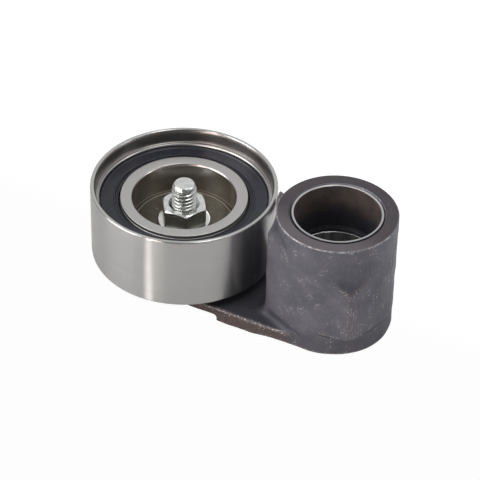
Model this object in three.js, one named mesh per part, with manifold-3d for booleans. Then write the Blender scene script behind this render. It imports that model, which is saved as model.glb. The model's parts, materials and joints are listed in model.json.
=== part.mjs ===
// Belt tensioner idler: a pulley on a sealed ball bearing, carried by a forged arm with a bushed pivot hub.
// Millimetres, +Z up. The origin is on the pulley's axis, in the plane that the part rests on.
// +X runs from the pulley's axis to the pivot's axis.

import * as THREE from 'three';
import { mergeVertices } from 'three/addons/utils/BufferGeometryUtils.js';
import Module from 'manifold-3d';

const wasm = await Module();
wasm.setup();

// Pivot hub
const CENTRE_DISTANCE = 54;
const HUB_RADIUS = 19;
const HUB_BASE = 1.5;
const HUB_HEIGHT = 42;
const HUB_TOP = HUB_BASE + HUB_HEIGHT;
const HUB_EDGE = 0.4;

// Bushes pressed into the hub
const BUSH_RADIUS = 14.5;
const BUSH_BORE_RADIUS = 13.5;
const BUSH_EDGE = 0.25;
const BUSH_RECESS = 0.1;
const UPPER_BUSH_LENGTH = 16;
const LOWER_BUSH_TOP = 24.8;
const LOWER_BUSH_LENGTH = 20;
const HUB_MOUTH_CHAMFER = 0.55;

// Plate under the pulley
const PLATE_TOP = 5.2;
const THIN_END_UNDERSIDE = 2;
const THIN_END_X = 22.2;
const RELIEF_INNER_RADIUS = 20.3;
const RELIEF_OUTER_RADIUS = 27.2;

// Web that fills the corner between the hub and the pulley
const WEB_FRONT_ANGLE = -113.8;
const WEB_SIDE_OFFSET = 18.3;
const WEB_CORNER_ROUNDING = 1.4;
const WEB_TOP = 36.9;
const WEB_FILLET = 4.2;
const WEB_FIN_ANGLE = 145.2;
const WEB_FIN_OFFSET = 5.9;
const WEB_FIN_THICKNESS = 3.8;
const WEB_FIN_BOTTOM = 29.5;
const PULLEY_CLEARANCE = 1;
const WEB_FOOT_FILLET = 2.4;

// Push pad: the flat-sided ridge on the hub that the tensioner's plunger bears on
const PAD_ANGLE = -82;
const PAD_BACK_ANGLE = -7.7;
const PAD_BACK_OFFSET = 16.6;
const PAD_CORNER_ROUNDING = 1.1;
const PAD_BOTTOM = 10;
const PAD_TOP = 26.3;
const PAD_SHELF_RUN = 3.2;
const PAD_SHELF_RISE = 5.6;

// Pulley: the bearing's outer ring and the belt face in one piece
const PULLEY_RADIUS = 30;
const PULLEY_WIDTH = 25.5;
const PULLEY_TOP = 34.2;
const PULLEY_MIDDLE = PULLEY_TOP - PULLEY_WIDTH / 2;
const RIM_INNER_RADIUS = 28.8;
const RECESS_RADIUS = 28.35;
const OUTER_RING_HALF_WIDTH = 7.95;
const SEAL_SEAT_RADIUS = 27.05;
const OUTER_SHOULDER_RADIUS = 25.1;

// Bearing
const BALL_COUNT = 12;
const BALL_RADIUS = 3.572;
const PITCH_RADIUS = 22.6;
const RACE_CLEARANCE = 0.06;
const GROOVE_RADIUS = 3.715;
const INNER_RING_BORE_RADIUS = 16.5;
const INNER_RING_RADIUS = 20.7;
const INNER_RING_HALF_WIDTH = 7.75;

// Seals, measured from the bearing's middle plane
const SEAL_OUTER_RADIUS = 26.95;
const SEAL_INNER_RADIUS = 20.88;
const SEAL_STEP_RADIUS = 21.9;
const SEAL_BACK = 6;
const SEAL_FACE = 7.25;
const SEAL_LIP_FACE = 6.6;

// Crown cage
const CAGE_INNER_RADIUS = 21.4;
const CAGE_OUTER_RADIUS = 23.9;
const CAGE_BASE = -5;
const CAGE_TIP = 1.4;
const POCKET_RADIUS = 3.75;
const NOTCH_RADIUS = 1.25;

// Collar that the inner ring is pressed on, and its fasteners
const COLLAR_FLANGE_RADIUS = 20.3;
const COLLAR_PILOT_RADIUS = 16.45;
const COLLAR_TOP = 18.45;
const COLLAR_EDGE = 0.4;
const COLLAR_HOLE_RADIUS = 4.3;
const STUD_RADIUS = 4;
const STUD_TOP = 34.2;
const STUD_END_RADIUS = 3.3;
const STUD_END_CHAMFER = 0.9;
const STUD_SHANK_RADIUS = 4.6;
const STUD_HEAD_RADIUS = 8;
const WASHER_RADIUS = 8.5;
const WASHER_THICKNESS = 1.5;
const NUT_ACROSS_FLATS = 13;
const NUT_HEIGHT = 6.4;
const NUT_TURN = 6;

// Gap left between pressed pieces, and the facets round a full turn
const FIT_GAP = 0.05;
const ROUND = 48;
const SMALL_ROUND = 24;

const INNER_RING_BOTTOM = PULLEY_MIDDLE - INNER_RING_HALF_WIDTH;
const HUB_BORE_RADIUS = BUSH_RADIUS + FIT_GAP;
const WASHER_TOP = COLLAR_TOP + WASHER_THICKNESS;

const radians = THREE.MathUtils.degToRad;

// ---- solids -------------------------------------------------------------------------------------------

function toSolid(geometry) {
  const plain = geometry.index ? geometry.toNonIndexed() : geometry.clone();
  plain.deleteAttribute('normal');
  plain.deleteAttribute('uv');
  const merged = mergeVertices(plain, 1e-5);
  const corners = merged.index.array;
  const kept = [];
  for (let i = 0; i < corners.length; i += 3) {
    const [a, b, c] = corners.slice(i, i + 3);
    if (a !== b && b !== c && c !== a) {
      kept.push(a, b, c);
    }
  }
  return new wasm.Manifold(new wasm.Mesh({
    numProp: 3,
    vertProperties: new Float32Array(merged.attributes.position.array),
    triVerts: new Uint32Array(kept),
  }));
}

function toGeometry(solid) {
  const mesh = solid.getMesh();
  const geometry = new THREE.BufferGeometry();
  geometry.setAttribute('position', new THREE.BufferAttribute(mesh.vertProperties, 3));
  geometry.setIndex(new THREE.BufferAttribute(mesh.triVerts, 1));
  geometry.computeVertexNormals();
  return geometry;
}

// A closed outline of [radius, height] points, anticlockwise, turned about the Z axis through (x, y).
function turned(outline, facets = ROUND, x = 0, y = 0) {
  const profile = outline.map(([r, z]) => new THREE.Vector2(r, z));
  profile.push(profile[0].clone());
  const geometry = new THREE.LatheGeometry(profile, facets);
  geometry.rotateX(Math.PI / 2);
  geometry.translate(x, y, 0);
  return toSolid(geometry);
}

// A flat outline raised from z = low to z = high.
function raised(shape, low, high, curveSegments = 6) {
  const geometry = new THREE.ExtrudeGeometry(shape, {
    depth: high - low,
    bevelEnabled: false,
    curveSegments,
  });
  geometry.translate(0, 0, low);
  return toSolid(geometry);
}

function arc(centreR, centreZ, radiusR, radiusZ, from, to, steps) {
  const points = [];
  for (let i = 0; i <= steps; i += 1) {
    const angle = radians(from + (to - from) * i / steps);
    points.push([centreR + radiusR * Math.cos(angle), centreZ + radiusZ * Math.sin(angle)]);
  }
  return points;
}

function mirrored(points) {
  return points.map(([r, z]) => [r, -z]).reverse();
}

function lifted(points, height) {
  return points.map(([r, z]) => [r, z + height]);
}

function circle(x, y, radius) {
  const shape = new THREE.Shape();
  shape.absarc(x, y, radius, 0, 2 * Math.PI, false);
  return shape;
}

// Where the two lines at these distances from the hub's axis cross; the angles are those of their normals.
function crossing(angleA, offsetA, angleB, offsetB) {
  const a = radians(angleA);
  const b = radians(angleB);
  const scale = Math.sin(b - a);
  return new THREE.Vector2(
    (offsetA * Math.sin(b) - offsetB * Math.sin(a)) / scale,
    (offsetB * Math.cos(a) - offsetA * Math.cos(b)) / scale,
  );
}

function onHub(angle, radius) {
  return new THREE.Vector2(radius * Math.cos(radians(angle)), radius * Math.sin(radians(angle)));
}

// An outline through these points about the hub's axis, with one corner rounded.
function hubOutline(points, roundedIndex, rounding) {
  const shape = new THREE.Shape();
  const moved = points.map((p) => new THREE.Vector2(p.x + CENTRE_DISTANCE, p.y));
  moved.forEach((point, i) => {
    if (i === 0) {
      shape.moveTo(point.x, point.y);
      return;
    }
    if (i !== roundedIndex) {
      shape.lineTo(point.x, point.y);
      return;
    }
    const before = point.clone().add(moved[i - 1].clone().sub(point).setLength(rounding));
    const after = point.clone().add(moved[i + 1].clone().sub(point).setLength(rounding));
    shape.lineTo(before.x, before.y);
    shape.quadraticCurveTo(point.x, point.y, after.x, after.y);
  });
  shape.closePath();
  return shape;
}

// ---- arm ----------------------------------------------------------------------------------------------

function armPlate() {
  const outline = new THREE.Shape();
  outline.moveTo(0, -HUB_RADIUS);
  outline.lineTo(CENTRE_DISTANCE, -HUB_RADIUS);
  outline.absarc(CENTRE_DISTANCE, 0, HUB_RADIUS, -Math.PI / 2, Math.PI / 2, false);
  outline.lineTo(0, HUB_RADIUS);
  outline.absarc(0, 0, HUB_RADIUS, Math.PI / 2, 1.5 * Math.PI, false);
  const plate = raised(outline, 0, PLATE_TOP, 20);

  const underThinEnd = new THREE.Shape();
  underThinEnd.moveTo(-THIN_END_X - 1, -1);
  underThinEnd.lineTo(THIN_END_X, -1);
  underThinEnd.lineTo(THIN_END_X, THIN_END_UNDERSIDE - 1);
  underThinEnd.quadraticCurveTo(THIN_END_X, THIN_END_UNDERSIDE, THIN_END_X - 1, THIN_END_UNDERSIDE);
  underThinEnd.lineTo(-THIN_END_X - 1, THIN_END_UNDERSIDE);
  underThinEnd.closePath();
  const step = new THREE.ExtrudeGeometry(underThinEnd, {
    depth: 2 * HUB_RADIUS + 2,
    bevelEnabled: false,
    curveSegments: 4,
  });
  step.rotateX(Math.PI / 2);
  step.translate(0, HUB_RADIUS + 1, 0);

  const slope = (RELIEF_OUTER_RADIUS - RELIEF_INNER_RADIUS) / HUB_BASE;
  const relief = turned([
    [0, -1],
    [RELIEF_OUTER_RADIUS + slope, -1],
    [RELIEF_INNER_RADIUS, HUB_BASE],
    [0, HUB_BASE],
  ], ROUND, CENTRE_DISTANCE);
  return plate.subtract(toSolid(step)).subtract(relief);
}

function hubBarrel() {
  return turned([
    [0, HUB_BASE],
    [HUB_RADIUS - HUB_EDGE, HUB_BASE],
    [HUB_RADIUS, HUB_BASE + HUB_EDGE],
    [HUB_RADIUS, HUB_TOP - HUB_EDGE],
    [HUB_RADIUS - HUB_EDGE, HUB_TOP],
    [0, HUB_TOP],
  ], ROUND, CENTRE_DISTANCE);
}

// The envelope, turned about the hub's axis, under a shelf that sweeps up to the barrel in a hollow curve.
function underShelf(shelf, run, rise, reach) {
  return turned([
    [0, 0],
    [reach, 0],
    [reach, shelf],
    ...arc(HUB_RADIUS + run, shelf + rise, run, rise, 270, 180, 6),
    [0, shelf + rise],
  ], ROUND, CENTRE_DISTANCE);
}

function webOutline() {
  const corner = crossing(WEB_FRONT_ANGLE, HUB_RADIUS, 180, WEB_SIDE_OFFSET);
  return hubOutline([
    onHub(WEB_FRONT_ANGLE + 25, HUB_RADIUS - 6),
    onHub(WEB_FRONT_ANGLE + 180, -HUB_RADIUS),
    corner,
    new THREE.Vector2(-WEB_SIDE_OFFSET, HUB_RADIUS / 3),
    new THREE.Vector2(-HUB_RADIUS + 6, 0),
  ], 2, WEB_CORNER_ROUNDING);
}

// The ear high on the back of the hub, which reaches out towards the pulley with open space under it.
function finOutline() {
  const along = onHub(WEB_FIN_ANGLE, 1);
  const across = onHub(WEB_FIN_ANGLE - 90, 1);
  const at = (distance, offset) => along.clone().multiplyScalar(distance)
    .add(across.clone().multiplyScalar(offset));
  return hubOutline([
    at(13, -WEB_FIN_OFFSET),
    at(30, -WEB_FIN_OFFSET),
    at(30, -WEB_FIN_OFFSET - WEB_FIN_THICKNESS),
    at(13, -WEB_FIN_OFFSET - WEB_FIN_THICKNESS),
  ], -1, 0);
}

// A hollow fillet between the plate's top and a flat wall that stands on it.
function footFillet(start, end) {
  const r = WEB_FOOT_FILLET;
  const section = new THREE.Shape();
  section.moveTo(-1, -0.5);
  section.lineTo(r, -0.5);
  section.lineTo(r, 0);
  section.absarc(r, r, r, -Math.PI / 2, -Math.PI, true);
  section.lineTo(-1, r);
  section.closePath();
  const length = start.distanceTo(end);
  const geometry = new THREE.ExtrudeGeometry(section, { depth: length, bevelEnabled: false, curveSegments: 4 });
  geometry.rotateX(Math.PI / 2);
  geometry.rotateZ(Math.atan2(end.y - start.y, end.x - start.x) + Math.PI / 2);
  geometry.translate(start.x + CENTRE_DISTANCE, start.y, PLATE_TOP);
  return toSolid(geometry);
}

function footCorner(corner) {
  const r = WEB_FOOT_FILLET;
  const hollow = lifted(arc(r, r, r, r, 270, 180, 4), PLATE_TOP);
  const outline = [[0, PLATE_TOP - 0.5], [r, PLATE_TOP - 0.5], ...hollow, [0, PLATE_TOP + r]];
  return turned(outline, SMALL_ROUND, corner.x + CENTRE_DISTANCE, corner.y);
}

function web() {
  const envelope = underShelf(WEB_TOP, WEB_FILLET, WEB_FILLET, CENTRE_DISTANCE);
  const block = raised(webOutline(), PLATE_TOP - 1, HUB_TOP);
  const fin = raised(finOutline(), WEB_FIN_BOTTOM, HUB_TOP);
  const corner = crossing(WEB_FRONT_ANGLE, HUB_RADIUS, 180, WEB_SIDE_OFFSET);
  const touch = onHub(WEB_FRONT_ANGLE, HUB_RADIUS);
  const sideEnd = new THREE.Vector2(-WEB_SIDE_OFFSET, 0);
  const feet = footFillet(touch, corner).add(footFillet(corner, sideEnd)).add(footCorner(corner));
  const room = turned([
    [0, PLATE_TOP],
    [PULLEY_RADIUS + PULLEY_CLEARANCE, PLATE_TOP],
    [PULLEY_RADIUS + PULLEY_CLEARANCE, HUB_TOP + 1],
    [0, HUB_TOP + 1],
  ], 2 * ROUND);
  return block.add(fin).intersect(envelope).add(feet).subtract(room);
}

function padOutline() {
  const corner = crossing(PAD_ANGLE, HUB_RADIUS, PAD_BACK_ANGLE, PAD_BACK_OFFSET);
  const backEnd = crossing(PAD_BACK_ANGLE, PAD_BACK_OFFSET, PAD_ANGLE, HUB_RADIUS / 2);
  return hubOutline([
    onHub(PAD_ANGLE, HUB_RADIUS / 2),
    onHub(PAD_ANGLE, HUB_RADIUS),
    corner,
    backEnd,
  ], 2, PAD_CORNER_ROUNDING);
}

function pushPad() {
  const envelope = underShelf(PAD_TOP, PAD_SHELF_RUN, PAD_SHELF_RISE, CENTRE_DISTANCE);
  return raised(padOutline(), PAD_BOTTOM, HUB_TOP).intersect(envelope);
}

function hubBore() {
  const mouth = HUB_BORE_RADIUS + HUB_MOUTH_CHAMFER;
  return turned([
    [0, HUB_BASE - 1],
    [mouth, HUB_BASE - 1],
    [mouth, HUB_BASE],
    [HUB_BORE_RADIUS, HUB_BASE + HUB_MOUTH_CHAMFER],
    [HUB_BORE_RADIUS, HUB_TOP - HUB_MOUTH_CHAMFER],
    [mouth, HUB_TOP],
    [mouth, HUB_TOP + 1],
    [0, HUB_TOP + 1],
  ], ROUND, CENTRE_DISTANCE);
}

function studHole() {
  return raised(circle(0, 0, STUD_SHANK_RADIUS + FIT_GAP), -1, PLATE_TOP + 1, SMALL_ROUND);
}

function tensionerArm() {
  const forging = armPlate().add(hubBarrel()).add(web()).add(pushPad());
  return forging.subtract(hubBore()).subtract(studHole());
}

function bush(top, length) {
  const bottom = top - length;
  return turned([
    [BUSH_BORE_RADIUS, bottom + BUSH_EDGE],
    [BUSH_BORE_RADIUS + BUSH_EDGE, bottom],
    [BUSH_RADIUS, bottom],
    [BUSH_RADIUS, top],
    [BUSH_BORE_RADIUS + BUSH_EDGE, top],
    [BUSH_BORE_RADIUS, top - BUSH_EDGE],
  ], ROUND, CENTRE_DISTANCE);
}

// ---- pulley and bearing -------------------------------------------------------------------------------

// The race's hollow curve, from its lower shoulder to its upper one.
function raceway(bottomRadius, shoulderRadius, outward) {
  const centre = bottomRadius - outward * GROOVE_RADIUS;
  const span = THREE.MathUtils.radToDeg(Math.acos(Math.abs(shoulderRadius - centre) / GROOVE_RADIUS));
  return outward > 0
    ? arc(centre, 0, GROOVE_RADIUS, GROOVE_RADIUS, -span, span, 6)
    : arc(centre, 0, GROOVE_RADIUS, GROOVE_RADIUS, 180 + span, 180 - span, 6);
}

function pulley() {
  const half = PULLEY_WIDTH / 2;
  const upper = [
    [PULLEY_RADIUS, half - 0.3],
    [PULLEY_RADIUS - 0.3, half],
    [RIM_INNER_RADIUS, half],
    [RECESS_RADIUS + 0.15, half - 0.45],
    [RECESS_RADIUS, OUTER_RING_HALF_WIDTH],
    [SEAL_SEAT_RADIUS + 0.35, OUTER_RING_HALF_WIDTH],
    [SEAL_SEAT_RADIUS, OUTER_RING_HALF_WIDTH - 0.4],
    [SEAL_SEAT_RADIUS, SEAL_BACK - FIT_GAP],
    [OUTER_SHOULDER_RADIUS, SEAL_BACK - FIT_GAP],
  ];
  const race = raceway(PITCH_RADIUS + BALL_RADIUS + RACE_CLEARANCE, OUTER_SHOULDER_RADIUS, 1);
  return turned(lifted([...upper, ...race.reverse(), ...mirrored(upper)], PULLEY_MIDDLE));
}

function innerRing() {
  const race = raceway(PITCH_RADIUS - BALL_RADIUS - RACE_CLEARANCE, INNER_RING_RADIUS, -1);
  const lower = [
    [INNER_RING_BORE_RADIUS, -INNER_RING_HALF_WIDTH + 0.3],
    [INNER_RING_BORE_RADIUS + 0.3, -INNER_RING_HALF_WIDTH],
    [INNER_RING_RADIUS - 0.2, -INNER_RING_HALF_WIDTH],
    [INNER_RING_RADIUS, -INNER_RING_HALF_WIDTH + 0.2],
  ];
  return turned(lifted([...lower, ...race, ...mirrored(lower)], PULLEY_MIDDLE));
}

function seal(side) {
  const upper = [
    [SEAL_INNER_RADIUS + 0.2, SEAL_BACK],
    [SEAL_OUTER_RADIUS, SEAL_BACK],
    [SEAL_OUTER_RADIUS, SEAL_FACE - 0.15],
    [SEAL_OUTER_RADIUS - 0.15, SEAL_FACE],
    [SEAL_STEP_RADIUS + 0.15, SEAL_FACE],
    [SEAL_STEP_RADIUS, SEAL_LIP_FACE],
    [SEAL_INNER_RADIUS, SEAL_LIP_FACE - 0.1],
  ];
  return turned(lifted(side > 0 ? upper : mirrored(upper), PULLEY_MIDDLE));
}

function ball() {
  return toSolid(new THREE.IcosahedronGeometry(BALL_RADIUS, 2));
}

function ballPlace(index) {
  const angle = 2 * Math.PI * index / BALL_COUNT;
  return new THREE.Vector3(PITCH_RADIUS * Math.cos(angle), PITCH_RADIUS * Math.sin(angle), PULLEY_MIDDLE);
}

// One-piece moulded crown: a ring with a snap-in pocket for each ball and a notch between the pockets.
function ballCage() {
  let cage = turned(lifted([
    [CAGE_INNER_RADIUS, CAGE_BASE],
    [CAGE_OUTER_RADIUS, CAGE_BASE],
    [CAGE_OUTER_RADIUS, CAGE_TIP],
    [CAGE_INNER_RADIUS, CAGE_TIP],
  ], PULLEY_MIDDLE));
  const cutterLength = CAGE_OUTER_RADIUS - CAGE_INNER_RADIUS + 2;
  for (let i = 0; i < BALL_COUNT; i += 1) {
    const place = ballPlace(i);
    const pocket = new THREE.SphereGeometry(POCKET_RADIUS, 16, 10);
    pocket.translate(place.x, place.y, place.z);
    cage = cage.subtract(toSolid(pocket));
    const notch = new THREE.CylinderGeometry(NOTCH_RADIUS, NOTCH_RADIUS, cutterLength, 8);
    notch.rotateZ(Math.PI / 2);
    notch.translate((CAGE_INNER_RADIUS + CAGE_OUTER_RADIUS) / 2, 0, PULLEY_MIDDLE + CAGE_TIP);
    notch.rotateZ(2 * Math.PI * (i + 0.5) / BALL_COUNT);
    cage = cage.subtract(toSolid(notch));
  }
  return cage;
}

// ---- collar and fasteners -----------------------------------------------------------------------------

function bearingCollar() {
  return turned([
    [COLLAR_HOLE_RADIUS, PLATE_TOP],
    [COLLAR_FLANGE_RADIUS, PLATE_TOP],
    [COLLAR_FLANGE_RADIUS, INNER_RING_BOTTOM],
    [COLLAR_PILOT_RADIUS, INNER_RING_BOTTOM],
    [COLLAR_PILOT_RADIUS, COLLAR_TOP - COLLAR_EDGE],
    [COLLAR_PILOT_RADIUS - COLLAR_EDGE, COLLAR_TOP],
    [COLLAR_HOLE_RADIUS, COLLAR_TOP],
  ]);
}

function pulleyStud() {
  return turned([
    [0, 0],
    [STUD_HEAD_RADIUS - 0.4, 0],
    [STUD_HEAD_RADIUS, 0.4],
    [STUD_HEAD_RADIUS, THIN_END_UNDERSIDE],
    [STUD_SHANK_RADIUS, THIN_END_UNDERSIDE],
    [STUD_SHANK_RADIUS, PLATE_TOP],
    [STUD_RADIUS, PLATE_TOP],
    [STUD_RADIUS, STUD_TOP - STUD_END_CHAMFER],
    [STUD_END_RADIUS, STUD_TOP],
    [0, STUD_TOP],
  ], SMALL_ROUND);
}

function studWasher() {
  return turned([
    [COLLAR_HOLE_RADIUS, COLLAR_TOP],
    [WASHER_RADIUS, COLLAR_TOP],
    [WASHER_RADIUS, WASHER_TOP - 0.15],
    [WASHER_RADIUS - 0.15, WASHER_TOP],
    [COLLAR_HOLE_RADIUS, WASHER_TOP],
  ], 36);
}

function studNut() {
  const cornerRadius = NUT_ACROSS_FLATS / Math.sqrt(3);
  const flatRadius = NUT_ACROSS_FLATS / 2;
  const faceRadius = 0.95 * flatRadius;
  const drop = (cornerRadius - faceRadius) * Math.tan(radians(30));
  const top = WASHER_TOP + NUT_HEIGHT;
  const hexagon = new THREE.Shape();
  for (let i = 0; i < 6; i += 1) {
    const angle = radians(NUT_TURN + 60 * i);
    const x = cornerRadius * Math.cos(angle);
    const y = cornerRadius * Math.sin(angle);
    if (i === 0) {
      hexagon.moveTo(x, y);
    } else {
      hexagon.lineTo(x, y);
    }
  }
  hexagon.closePath();
  const chamfered = turned([
    [0, WASHER_TOP],
    [faceRadius, WASHER_TOP],
    [cornerRadius, WASHER_TOP + drop],
    [cornerRadius, top - drop],
    [faceRadius, top],
    [0, top],
  ], 36);
  const hole = STUD_RADIUS + 2 * FIT_GAP;
  const thread = turned([
    [0, WASHER_TOP - 1],
    [hole, WASHER_TOP - 1],
    [hole, top - 0.5],
    [hole + 0.5, top],
    [hole + 0.5, top + 1],
    [0, top + 1],
  ], SMALL_ROUND);
  return raised(hexagon, WASHER_TOP, top).intersect(chamfered).subtract(thread);
}

// ---- assembly -----------------------------------------------------------------------------------------

function steel(color, roughness) {
  return new THREE.MeshStandardMaterial({ color, roughness, metalness: 0.9 });
}

function moulded(color, roughness) {
  return new THREE.MeshStandardMaterial({ color, roughness, metalness: 0 });
}

const group = new THREE.Group();

function addPiece(name, solid, material, place = null) {
  const mesh = new THREE.Mesh(toGeometry(solid), material);
  mesh.name = name;
  if (place) {
    mesh.position.copy(place);
  }
  group.add(mesh);
}

const upperBushTop = HUB_TOP - BUSH_RECESS;
addPiece('tensioner_arm', tensionerArm(), steel(0x4b4a52, 0.55));
addPiece('bush_upper', bush(upperBushTop, UPPER_BUSH_LENGTH), steel(0xb9b5ae, 0.35));
addPiece('bush_lower', bush(LOWER_BUSH_TOP, LOWER_BUSH_LENGTH), steel(0xb9b5ae, 0.35));
addPiece('pulley_stud', pulleyStud(), steel(0xc9cdd0, 0.3));
addPiece('bearing_collar', bearingCollar(), steel(0x5b564a, 0.5));
addPiece('stud_washer', studWasher(), steel(0xc9cdd0, 0.32));
addPiece('stud_nut', studNut(), steel(0xd0d4d6, 0.28));
addPiece('inner_ring', innerRing(), steel(0xa9a9a8, 0.3));
addPiece('pulley', pulley(), steel(0xb4b2ab, 0.25));
addPiece('seal_top', seal(1), moulded(0x2a2d38, 0.6));
addPiece('seal_bottom', seal(-1), moulded(0x2a2d38, 0.6));
addPiece('ball_cage', ballCage(), moulded(0x8a7a5a, 0.5));
for (let i = 0; i < BALL_COUNT; i += 1) {
  const name = `ball_${String(i + 1).padStart(2, '0')}`;
  addPiece(name, ball(), steel(0xd8dadc, 0.1), ballPlace(i));
}

export default group;
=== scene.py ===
"""Looks of the belt tensioner idler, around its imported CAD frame.

Blender works in metres. Shapes are worked out in millimetres, in the same frame, and scaled as they become
meshes.
"""

import json
import math

import bmesh
import bpy
import numpy as np
from mathutils import Matrix, Vector

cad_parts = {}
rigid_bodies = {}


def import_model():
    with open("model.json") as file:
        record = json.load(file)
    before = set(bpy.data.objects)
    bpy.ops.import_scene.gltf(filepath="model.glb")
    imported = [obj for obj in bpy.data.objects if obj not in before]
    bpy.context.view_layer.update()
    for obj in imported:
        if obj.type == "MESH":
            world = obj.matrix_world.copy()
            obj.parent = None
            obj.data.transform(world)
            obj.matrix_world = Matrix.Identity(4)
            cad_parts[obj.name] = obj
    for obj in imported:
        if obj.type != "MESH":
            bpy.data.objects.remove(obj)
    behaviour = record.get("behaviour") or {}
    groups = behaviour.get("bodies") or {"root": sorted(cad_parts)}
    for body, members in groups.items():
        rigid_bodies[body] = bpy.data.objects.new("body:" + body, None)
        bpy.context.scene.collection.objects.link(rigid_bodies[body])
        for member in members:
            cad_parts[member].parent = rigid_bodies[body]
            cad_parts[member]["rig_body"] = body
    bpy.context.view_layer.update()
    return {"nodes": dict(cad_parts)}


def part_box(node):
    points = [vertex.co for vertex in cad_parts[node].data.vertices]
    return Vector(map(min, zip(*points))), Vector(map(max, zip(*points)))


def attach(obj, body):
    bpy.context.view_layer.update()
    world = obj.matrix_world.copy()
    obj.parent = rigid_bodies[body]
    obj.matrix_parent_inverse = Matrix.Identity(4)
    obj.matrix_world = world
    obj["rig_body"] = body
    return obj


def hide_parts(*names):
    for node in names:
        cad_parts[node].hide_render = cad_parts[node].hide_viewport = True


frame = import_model()

MM = 0.001


def span(node):
    """The lowest and highest corners of a CAD node, in millimetres."""
    low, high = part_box(node)
    return [c / MM for c in low], [c / MM for c in high]


# ---- sizes, from the frame ----------------------------------------------------------------------------

ARM_LOW, ARM_HIGH = span("tensioner_arm")
BUSH_LOW, BUSH_HIGH = span("bush_upper")
LOWER_BUSH_LOW, LOWER_BUSH_HIGH = span("bush_lower")
PULLEY_LOW, PULLEY_HIGH = span("pulley")
RING_LOW, RING_HIGH = span("inner_ring")
COLLAR_LOW, COLLAR_HIGH = span("bearing_collar")
_, STUD_HIGH = span("pulley_stud")
WASHER_LOW, WASHER_HIGH = span("stud_washer")
NUT_LOW, NUT_HIGH = span("stud_nut")
BALL_LOW, BALL_HIGH = span("ball_01")

HUB_X = (BUSH_LOW[0] + BUSH_HIGH[0]) / 2
HUB_RADIUS = ARM_HIGH[0] - HUB_X
HUB_TOP = ARM_HIGH[2]
HUB_BASE = 1.5
BUSH_RADIUS = HUB_X - BUSH_LOW[0]
BUSH_WALL = 1.0
PLATE_TOP = COLLAR_LOW[2]
PULLEY_RADIUS = PULLEY_HIGH[0]
PULLEY_MIDDLE = (PULLEY_LOW[2] + PULLEY_HIGH[2]) / 2
RING_RADIUS = RING_HIGH[0]
BALL_RADIUS = 3.572
GROOVE_CLEARANCE = 0.07
BALL_CIRCLE = math.hypot((BALL_LOW[0] + BALL_HIGH[0]) / 2, (BALL_LOW[1] + BALL_HIGH[1]) / 2)

# How finely round shapes are divided
LARGE_TURN = 300
SMALL_TURN = 160

# ---- meshes -------------------------------------------------------------------------------------------


def mesh_object(name, vertices, faces, sharp_degrees=32):
    """A smooth-shaded object from vertices in millimetres."""
    mesh = bpy.data.meshes.new(name)
    mesh.from_pydata((np.asarray(vertices, float) * MM).tolist(), [], [tuple(f) for f in faces])
    mesh.validate()
    mesh.shade_smooth()
    mesh.set_sharp_from_angle(angle=math.radians(sharp_degrees))
    piece = bpy.data.objects.new(name, mesh)
    bpy.context.scene.collection.objects.link(piece)
    return piece


def softened(corners, steps=4):
    """The closed outline through (radius, height, rounding) corners, each corner eased by its rounding."""
    outline = []
    count = len(corners)
    for i, (r, z, rounding) in enumerate(corners):
        corner = np.array([r, z], float)
        if rounding <= 0:
            outline.append(corner)
            continue
        before = np.array(corners[i - 1][:2], float)
        after = np.array(corners[(i + 1) % count][:2], float)
        start = corner + (before - corner) * min(0.49, rounding / np.linalg.norm(before - corner))
        end = corner + (after - corner) * min(0.49, rounding / np.linalg.norm(after - corner))
        for step in range(steps + 1):
            t = step / steps
            outline.append((1 - t) ** 2 * start + 2 * t * (1 - t) * corner + t * t * end)
    return outline


def turned(name, corners, centre_x=0.0, segments=240):
    """A solid of revolution about the vertical axis at centre_x, from an anticlockwise closed outline."""
    outline = softened(corners)
    vertices, rings = [], []
    for r, z in outline:
        if r < 1e-9:
            rings.append([len(vertices)] * segments)
            vertices.append((centre_x, 0, z))
            continue
        rings.append(list(range(len(vertices), len(vertices) + segments)))
        for i in range(segments):
            angle = 2 * math.pi * i / segments
            vertices.append((centre_x + r * math.cos(angle), r * math.sin(angle), z))
    faces = []
    for low, high in zip(rings, rings[1:] + rings[:1]):
        for i in range(segments):
            j = (i + 1) % segments
            corner_loop = [low[i], low[j], high[j], high[i]]
            kept = [c for k, c in enumerate(corner_loop) if c != corner_loop[k - 1]]
            if len(kept) > 2:
                faces.append(kept)
    return mesh_object(name, vertices, faces)


def smooth_min(a, b, reach):
    return np.minimum(a, b) - np.maximum(reach - np.abs(a - b), 0) ** 2 / (4 * reach)


def smooth_max(a, b, reach):
    return -smooth_min(-a, -b, reach)


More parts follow.
